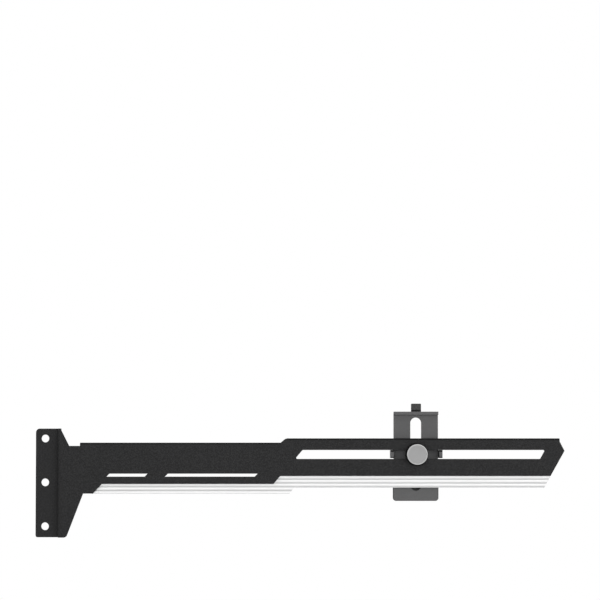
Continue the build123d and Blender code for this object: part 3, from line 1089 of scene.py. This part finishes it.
class BRACKET_OT_clamp_nut(bpy.types.Operator):
    """Make the hex nut behind the clip"""

    bl_idname = "bracket.clamp_nut"
    bl_label = "Clamp nut"

    def execute(self, context):
        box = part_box("clip_nut")
        size = size_of(box)
        play = 0.0001
        bore = size_of(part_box("thumb_stud")).x / 2 + play
        piece = hex_nut("clamp_nut", size.z, size.y, bore, lead_in=0.00015)
        round_edges(piece, context.scene.bracket_edges.fastener)
        piece = copy_to(piece, [front_of(box)])
        finish_piece(piece, "carriage", "clip_nut", [zinc()])
        return {"FINISHED"}


class BRACKET_OT_clamp_stud(bpy.types.Operator):
    """Make the threaded stud of the thumb screw"""

    bl_idname = "bracket.clamp_stud"
    bl_label = "Thumb screw stud"

    def execute(self, context):
        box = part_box("thumb_stud")
        size = size_of(box)
        pitch = context.scene.bracket_threads.screw_pitch
        piece = thread("clamp_stud", size.x / 2, pitch, size.y, lead_in=0.0004)
        smooth(piece)
        piece = copy_to(piece, [front_of(box)])
        finish_piece(piece, "thumb_screw", "thumb_stud", [zinc()])
        return {"FINISHED"}


class BRACKET_OT_clamp_knob(bpy.types.Operator):
    """Make the turned and knurled knob of the thumb screw"""

    bl_idname = "bracket.clamp_knob"
    bl_label = "Thumb screw knob"

    def execute(self, context):
        colours = context.scene.bracket_colours
        threads = context.scene.bracket_threads
        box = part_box("thumb_knob")
        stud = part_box("thumb_stud")
        radius = size_of(box).x / 2
        back = size_of(box).y
        neck = 0.0039
        neck_length = 0.0019
        shoulder = back - neck_length
        chamfer = 0.0004
        rim = 0.001
        run_out = 0.0002
        dish = 0.00006
        dish_edge = radius - 0.0009
        dish_slope = 0.0002
        bore = size_of(stud).x / 2
        bore_end = stud[0].y - box[0].y
        profile = [
            (0.0, dish),
            (dish_edge - dish_slope, dish),
            (dish_edge, 0.0),
            (radius - chamfer, 0.0),
            (radius, chamfer),
            (radius, rim - run_out),
            (radius, rim + run_out),
            (radius, shoulder - rim - run_out),
            (radius, shoulder - rim + run_out),
            (radius, shoulder - chamfer),
            (radius - chamfer, shoulder),
            (neck, shoulder),
            (neck, back),
            (bore, back),
            (bore, bore_end),
            (0.0, bore_end),
        ]
        skin = 1e-5
        groove_steps = 4
        steps = groove_steps * threads.knurl_grooves
        piece = turn("clamp_knob", profile, steps)

        def in_groove(at):
            """Whether a point of the knurled band lies at the bottom of a groove."""
            on_rim = abs(math.hypot(at.x, at.z) - radius) < skin
            in_band = rim + run_out / 2 < at.y < shoulder - rim - run_out / 2
            step = round(math.atan2(at.z, at.x) / math.tau * steps)
            return on_rim and in_band and step % groove_steps == 0

        start_edit(piece)
        pick_points(piece, in_groove)
        share = 1 - threads.knurl_depth / radius
        bpy.ops.transform.resize(value=(share, 1.0, share), center_override=(0, 0, 0))
        # The front chamfer is the slanting ring before its own depth
        pick_faces(piece, lambda at, normal: -0.95 < normal.y < -0.3 and at.y < chamfer)
        paint_picked(piece, 1)
        end_edit()
        smooth(piece)
        piece = copy_to(piece, [front_of(box)])
        axis = (middle(box).x, middle(box).z)
        anodised = metal_finish("anodised_knob", colours.knob, axis)
        bright = metal_finish("turned_rim", colours.knob_rim, axis)
        finish_piece(piece, "thumb_screw", "thumb_knob", [anodised, bright])
        return {"FINISHED"}


class BRACKET_OT_clamp_washer(bpy.types.Operator):
    """Make the nylon washer under the knob"""

    bl_idname = "bracket.clamp_washer"
    bl_label = "Thumb screw washer"

    def execute(self, context):
        width = context.scene.bracket_edges.moulded
        finish = grained_finish("black_nylon", context.scene.bracket_colours.washer)
        dress_copy("knob_washer", "clamp_washer", width, "washer", [finish])
        return {"FINISHED"}


# Stage


def add_lamp(name, place, size, power):
    """Add a lamp of a width and height, turned to the object, that isn't seen itself or in reflections."""
    turned = (CENTRE - Vector(place)).to_track_quat("-Z", "Y").to_euler()
    bpy.ops.object.light_add(type="AREA", location=place, rotation=turned)
    lamp = bpy.context.active_object
    lamp.name = name
    lamp.data.shape = "RECTANGLE"
    lamp.data.size, lamp.data.size_y = size
    lamp.data.energy = power
    lamp.visible_camera = False
    lamp.visible_glossy = False


def seen_directly(tree):
    """Mask of the rays that see plain white: the camera's, reflected and refracted ones."""
    path = put(tree, "ShaderNodeLightPath").outputs
    shiny = reckon(tree, "MAXIMUM", path["Is Glossy Ray"], path["Is Transmission Ray"])
    return reckon(tree, "MAXIMUM", path["Is Camera Ray"], shiny)


def studio_world(level):
    """White background, with even light of a given level that is weaker from above."""
    world = bpy.data.worlds.new("studio")
    tree = blank_tree(world)
    height = parts_of(tree, put(tree, "ShaderNodeTexCoord").outputs["Generated"])["Z"]
    strength = remap(tree, height, 0.1, 0.9, to=(level, 0.35 * level))
    room = put(tree, "ShaderNodeBackground", {"Color": WHITE, "Strength": strength}).outputs[0]
    white = put(tree, "ShaderNodeBackground", {"Color": WHITE, "Strength": 1.0}).outputs[0]
    both = put(tree, "ShaderNodeMixShader", {0: seen_directly(tree), 1: room, 2: white})
    put(tree, "ShaderNodeOutputWorld", {"Surface": both.outputs[0]})
    return world


def floor_finish():
    """Pale floor that keeps a shadow near the object and goes over into the white background."""
    material = bpy.data.materials.new("pale_floor")
    tree = blank_tree(material)
    distance = put(tree, "ShaderNodeVectorMath", {0: place_on(tree)}, operation="LENGTH").outputs["Value"]
    far = remap(tree, distance, *FLOOR_FADE, soft=True)
    seen = seen_directly(tree)
    pale = put(tree, "ShaderNodeBsdfDiffuse", {"Color": FLOOR_TONE}).outputs[0]
    level = reckon(tree, "MULTIPLY", seen, FLOOR_GLOW)
    glow = put(tree, "ShaderNodeEmission", {"Strength": level}).outputs[0]
    near = put(tree, "ShaderNodeAddShader", {0: pale, 1: glow}).outputs[0]
    white = put(tree, "ShaderNodeEmission", {"Strength": 1.0}).outputs[0]
    both = put(tree, "ShaderNodeMixShader", {0: reckon(tree, "MULTIPLY", far, seen), 1: near, 2: white})
    put(tree, "ShaderNodeOutputMaterial", {"Surface": both.outputs[0]})
    return material


class BRACKET_OT_stage(bpy.types.Operator):
    """Set up the floor, the lamps, the white surroundings and the camera"""

    bl_idname = "bracket.stage"
    bl_label = "Stage"

    def execute(self, context):
        scene = context.scene
        stage = scene.bracket_stage
        bpy.ops.object.select_all(action="DESELECT")
        bpy.ops.mesh.primitive_plane_add(size=FLOOR_SIZE, location=(CENTRE.x, CENTRE.y, -stage.floor_drop))
        floor = bpy.context.active_object
        floor.name = "floor"
        floor.data.materials.append(floor_finish())
        add_lamp("key", KEY_PLACE, KEY_SIZE, stage.key_power)
        add_lamp("rim", RIM_PLACE, RIM_SIZE, stage.rim_power)
        scene.world = studio_world(stage.room_level)
        eye = (stage.eye_along, -stage.distance, stage.eye_height)
        bpy.ops.object.camera_add(location=eye, rotation=(math.pi / 2 + stage.pitch, 0.0, 0.0))
        camera = bpy.context.active_object
        camera.name = "photo_camera"
        camera.data.lens = stage.lens
        camera.data.sensor_width = 36.0
        camera.data.shift_y = stage.rise
        scene.camera = camera
        scene.view_settings.view_transform = "Standard"
        return {"FINISHED"}


class BRACKET_PT_panel(bpy.types.Panel):
    """Settings and steps of the bracket"""

    bl_idname = "BRACKET_PT_panel"
    bl_label = "Bracket"
    bl_space_type = "VIEW_3D"
    bl_region_type = "UI"
    bl_category = "Bracket"

    def draw(self, context):
        for group in SETTINGS:
            settings = getattr(context.scene, group)
            box = self.layout.box()
            for name in settings.__annotations__:
                box.prop(settings, name)
        for operator in OPERATORS:
            self.layout.operator(operator.bl_idname)


OPERATORS = (
    BRACKET_OT_arm,
    BRACKET_OT_light_guide,
    BRACKET_OT_carrier,
    BRACKET_OT_board,
    BRACKET_OT_led_packages,
    BRACKET_OT_capacitors,
    BRACKET_OT_inlet,
    BRACKET_OT_pins,
    BRACKET_OT_weld_studs,
    BRACKET_OT_stud_washers,
    BRACKET_OT_stud_nuts,
    BRACKET_OT_lift_plate,
    BRACKET_OT_rest_pad,
    BRACKET_OT_pad_tape,
    BRACKET_OT_guide_clip,
    BRACKET_OT_clamp_nut,
    BRACKET_OT_clamp_stud,
    BRACKET_OT_clamp_knob,
    BRACKET_OT_clamp_washer,
    BRACKET_OT_stage,
)
SETTINGS = {
    "bracket_edges": BracketEdges,
    "bracket_threads": BracketThreads,
    "bracket_colours": BracketColours,
    "bracket_stage": BracketStage,
}


def register():
    """Register the settings, the operators and the panel."""
    for name, group in SETTINGS.items():
        bpy.utils.register_class(group)
        setattr(bpy.types.Scene, name, PointerProperty(type=group))
    for operator in OPERATORS:
        bpy.utils.register_class(operator)
    bpy.utils.register_class(BRACKET_PT_panel)


def unregister():
    """Take the settings, the operators and the panel out again."""
    bpy.utils.unregister_class(BRACKET_PT_panel)
    for operator in reversed(OPERATORS):
        bpy.utils.unregister_class(operator)
    for name, group in SETTINGS.items():
        delattr(bpy.types.Scene, name)
        bpy.utils.unregister_class(group)


def main():
    """Dress the bracket and set up its stage."""
    register()
    for operator in OPERATORS:
        group, name = operator.bl_idname.split(".")
        getattr(getattr(bpy.ops, group), name)()


if __name__ == "__main__":
    main()
